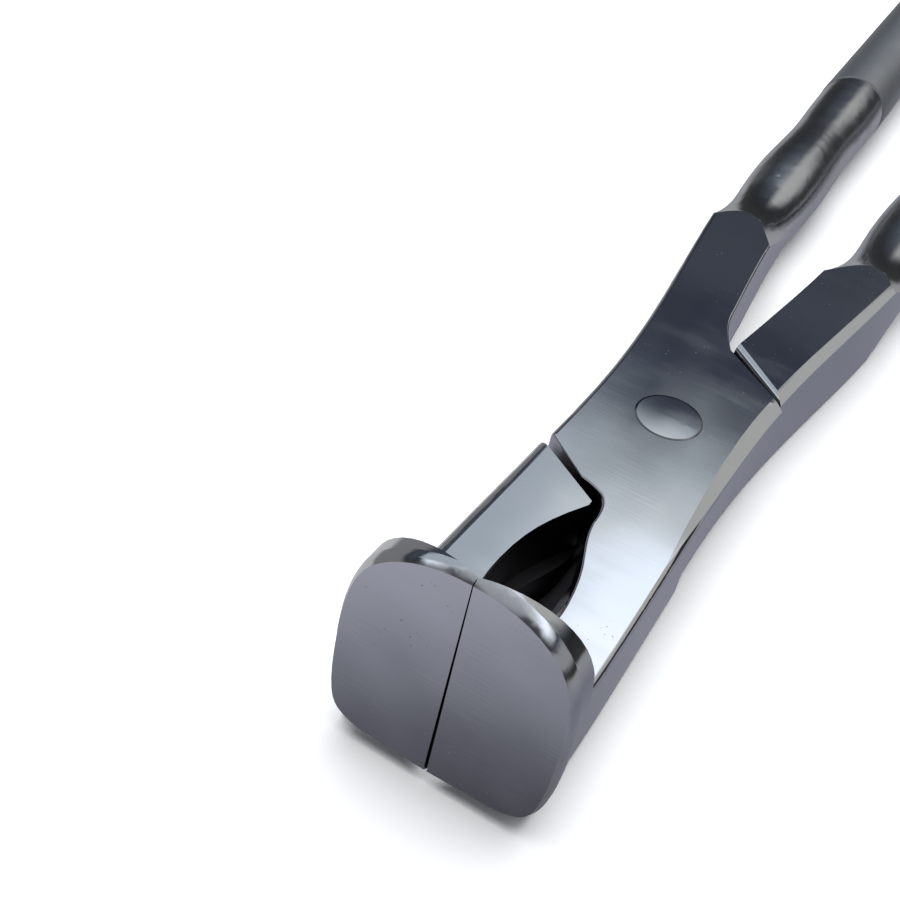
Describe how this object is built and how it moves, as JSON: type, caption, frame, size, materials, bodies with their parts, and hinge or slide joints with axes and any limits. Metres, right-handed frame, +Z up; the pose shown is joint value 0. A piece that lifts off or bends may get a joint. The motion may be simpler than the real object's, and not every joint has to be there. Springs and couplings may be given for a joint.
{
  "type": "end-cutting extraction forceps",
  "caption": "Long-handled dental forceps with two flat jaw plates that meet edge to edge, a lap joint with a flush rivet, and tubular grips.",
  "frame": {"origin": "on the pivot axis, in the plane that the closed tool lies on", "axes": "+Y from the jaws to the handles, +Z up along the pivot, +X to the side of the upper half's jaw"},
  "size_m": [0.0554, 0.45, 0.0344],
  "materials": {
    "polished_steel": "mirror polished, with faint circular brushing on the joint",
    "rivet_steel": "polished flush",
    "satin_steel": "satin, bead blasted"
  },
  "bodies": {
    "lower": {"lower_half": "polished_steel", "lower_grip_sleeve": "satin_steel", "lower_grip_plug": "satin_steel"},
    "upper": {"upper_half": "polished_steel", "pivot_rivet": "rivet_steel", "upper_grip_sleeve": "satin_steel", "upper_grip_plug": "satin_steel"}
  },
  "joints": [
    {"name": "pivot", "type": "hinge", "parent": "lower", "child": "upper", "pos_m": [0, 0, 0.008], "axis": [0, 0, 1], "range_deg": [0, 26]}
  ]
}
